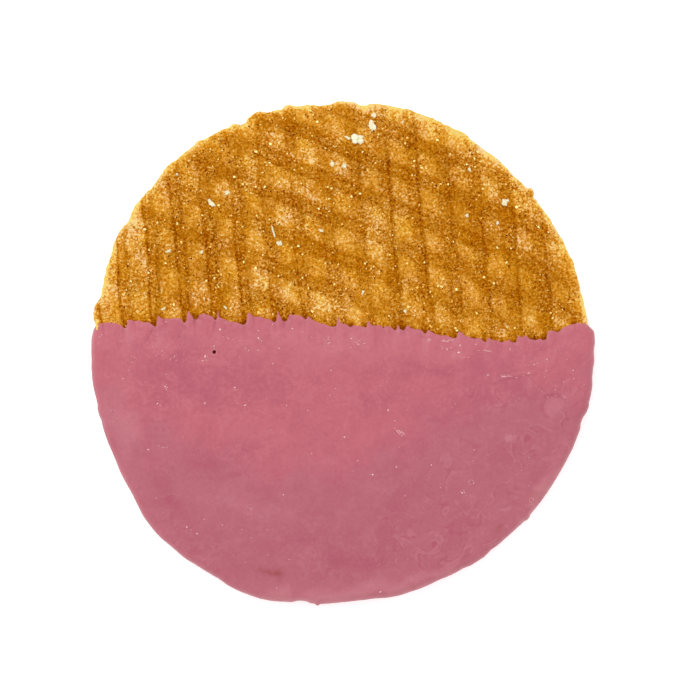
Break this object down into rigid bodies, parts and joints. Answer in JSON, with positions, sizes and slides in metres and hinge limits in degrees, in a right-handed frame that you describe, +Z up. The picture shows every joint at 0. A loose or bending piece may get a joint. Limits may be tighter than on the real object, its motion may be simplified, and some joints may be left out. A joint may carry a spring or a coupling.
{
  "type": "stroopwafel",
  "caption": "Round syrup-filled waffle biscuit with a pressed diamond lattice, one side dipped in smooth pink chocolate with a ragged upper edge.",
  "frame": {"origin": "middle of the bounding box at the height of the coat's flat underside, where the biscuit rests", "axes": "+Z up out of the face, +Y towards the bare side, +X along the dip line"},
  "size_m": [0.1047, 0.1045, 0.0077],
  "materials": {
    "baked_crust": "golden-brown baked wafer, finely grained and slightly glossy on the ridges",
    "caramel_syrup": "sticky caramel syrup",
    "pink_chocolate": "satin dusty-pink chocolate, set smooth"
  },
  "bodies": {
    "root": {"wafer_top": "baked_crust", "syrup": "caramel_syrup", "wafer_bottom": "baked_crust", "coating": "pink_chocolate"}
  },
  "joints": []
}
